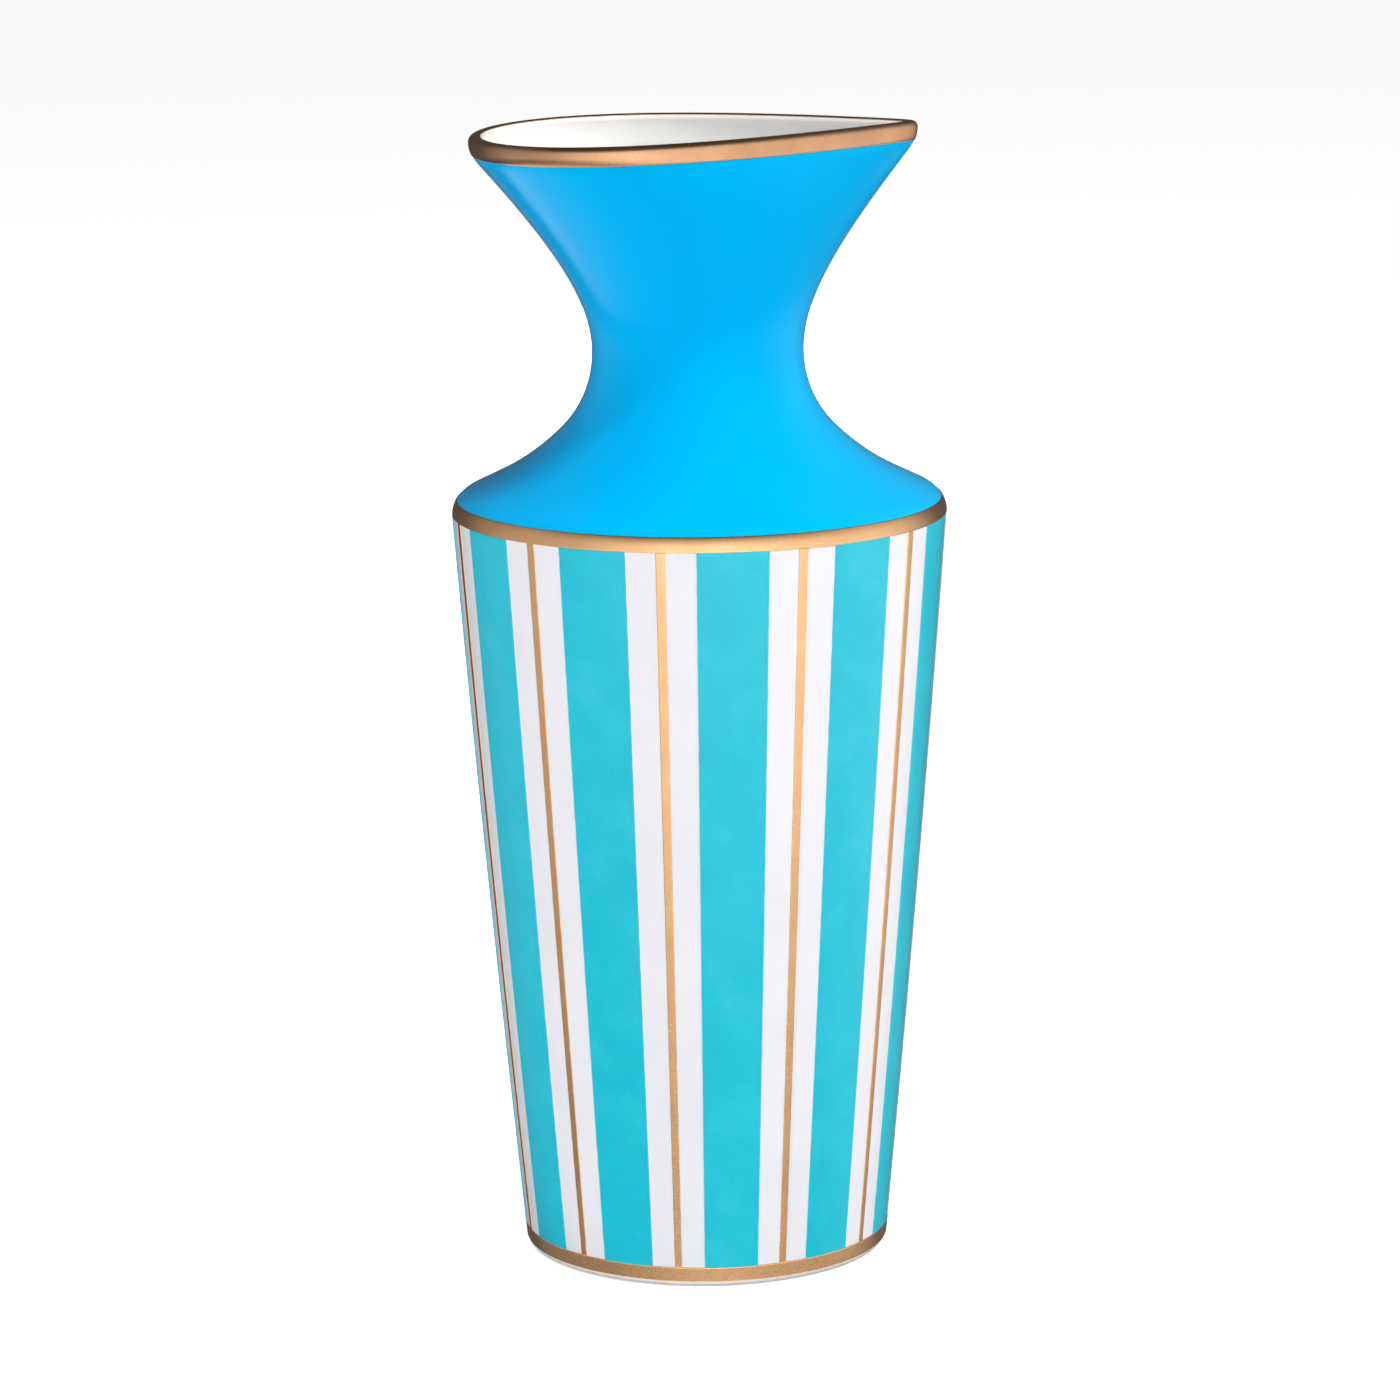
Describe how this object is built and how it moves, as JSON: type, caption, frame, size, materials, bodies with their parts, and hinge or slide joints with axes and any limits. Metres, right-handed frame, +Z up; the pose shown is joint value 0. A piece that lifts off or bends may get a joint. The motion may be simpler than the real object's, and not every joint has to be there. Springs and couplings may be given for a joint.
{
  "type": "porcelain vase",
  "caption": "Tapered round porcelain vase with a narrow waist and a trumpet mouth drawn to a point, blue neck, turquoise and gold stripes on white.",
  "frame": {"origin": "centre of the foot ring, in the plane that the vase rests on", "axes": "+Z up along the body's axis, +X toward the point of the teardrop mouth, -Y toward the front"},
  "size_m": [0.102, 0.102, 0.2351],
  "materials": {
    "porcelain": "bare fired white clay, matt",
    "white_glaze": "clear glaze over white, glossy",
    "blue_glaze": "cerulean glaze, high gloss",
    "turquoise_enamel": "turquoise enamel, glossy, softly mottled",
    "gold": "fired gold lustre, satin with fine grain",
    "rim_gold": "fired rose gold lustre, polished"
  },
  "bodies": {
    "root": {"porcelain_body": "porcelain", "interior_glaze": "white_glaze", "white_ground_glaze": "white_glaze", "underside_glaze": "white_glaze", "blue_glaze": "blue_glaze", "gold_rim_band": "rim_gold", "gold_shoulder_band": "gold", "gold_base_band": "gold", "gold_pinstripe_01": "gold", "gold_pinstripe_02": "gold", "gold_pinstripe_03": "gold", "gold_pinstripe_04": "gold", "gold_pinstripe_05": "gold", "gold_pinstripe_06": "gold", "gold_pinstripe_07": "gold", "gold_pinstripe_08": "gold", "gold_pinstripe_09": "gold", "gold_pinstripe_10": "gold", "gold_pinstripe_11": "gold", "turquoise_stripe_01": "turquoise_enamel", "turquoise_stripe_02": "turquoise_enamel", "turquoise_stripe_03": "turquoise_enamel", "turquoise_stripe_04": "turquoise_enamel", "turquoise_stripe_05": "turquoise_enamel", "turquoise_stripe_06": "turquoise_enamel", "turquoise_stripe_07": "turquoise_enamel", "turquoise_stripe_08": "turquoise_enamel", "turquoise_stripe_09": "turquoise_enamel", "turquoise_stripe_10": "turquoise_enamel", "turquoise_stripe_11": "turquoise_enamel"}
  },
  "joints": []
}
